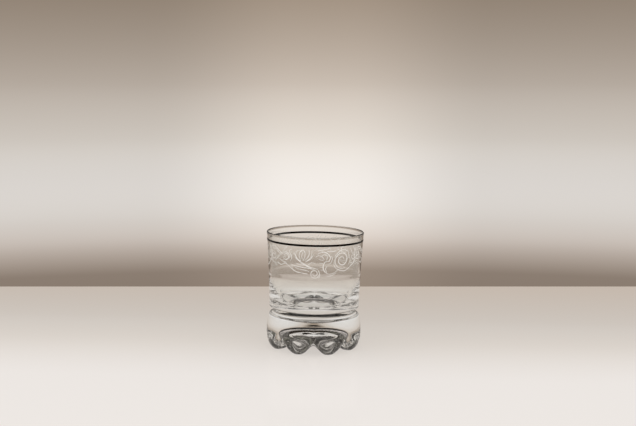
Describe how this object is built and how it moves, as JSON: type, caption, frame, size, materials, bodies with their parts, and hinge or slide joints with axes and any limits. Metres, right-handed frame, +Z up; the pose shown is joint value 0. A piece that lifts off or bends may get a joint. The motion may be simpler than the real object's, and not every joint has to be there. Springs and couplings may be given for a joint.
{
  "type": "lowball glass",
  "caption": "Clear lowball glass with a thin flared bowl on a thick foot with rounded toes, a groove at the waist and a fired metal line under the rim.",
  "frame": {"origin": "on the glass's axis, in the plane of the table that the toes stand on", "axes": "+Z up along the axis, through the rim; -Y out through the crease between two toes that faces the viewer"},
  "size_m": [0.08, 0.08, 0.096],
  "materials": {
    "clear_glass": "fire-polished, clear",
    "foot_glass": "pressed, polished, clear",
    "fired_metal": "fired-on metallic lustre, dark against the light",
    "etched_frieze": "etched, satin white"
  },
  "bodies": {
    "root": {"bowl": "clear_glass", "foot": "foot_glass", "metal_line": "fired_metal"}
  },
  "joints": []
}
